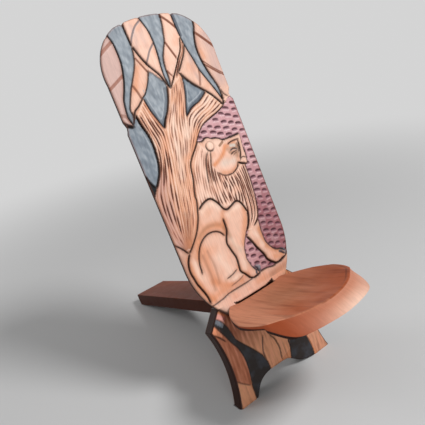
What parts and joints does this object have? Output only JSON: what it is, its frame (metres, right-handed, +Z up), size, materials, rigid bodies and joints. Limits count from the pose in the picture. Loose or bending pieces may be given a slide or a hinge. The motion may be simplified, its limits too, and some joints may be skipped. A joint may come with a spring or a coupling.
{
  "type": "crossed-board carved chair",
  "caption": "Low wooden chair of two crossed planks: a tall relief-carved back board on arched feet, with a dished seat board whose long tail slides through a slot and rests on the floor.",
  "frame": {"origin": "on the floor, under the middle of the chair's overall box", "axes": "+Z is up, -Y is the way that the sitter faces, +X is to the right seen from the front"},
  "size_m": [0.3366, 0.9316, 0.9534],
  "materials": {
    "carved_wood": "carved in low relief, stained and painted, semi-gloss varnish",
    "seat_wood": "smooth red-brown wood with straight grain, semi-gloss varnish"
  },
  "bodies": {
    "back": {"back_board": "carved_wood"},
    "seat": {"seat_board": "seat_wood"}
  },
  "joints": [
    {"name": "seat_slide", "type": "slide", "parent": "back", "child": "seat", "axis": [0, -0.9511, 0.309], "range_m": [0, 0.61]}
  ]
}
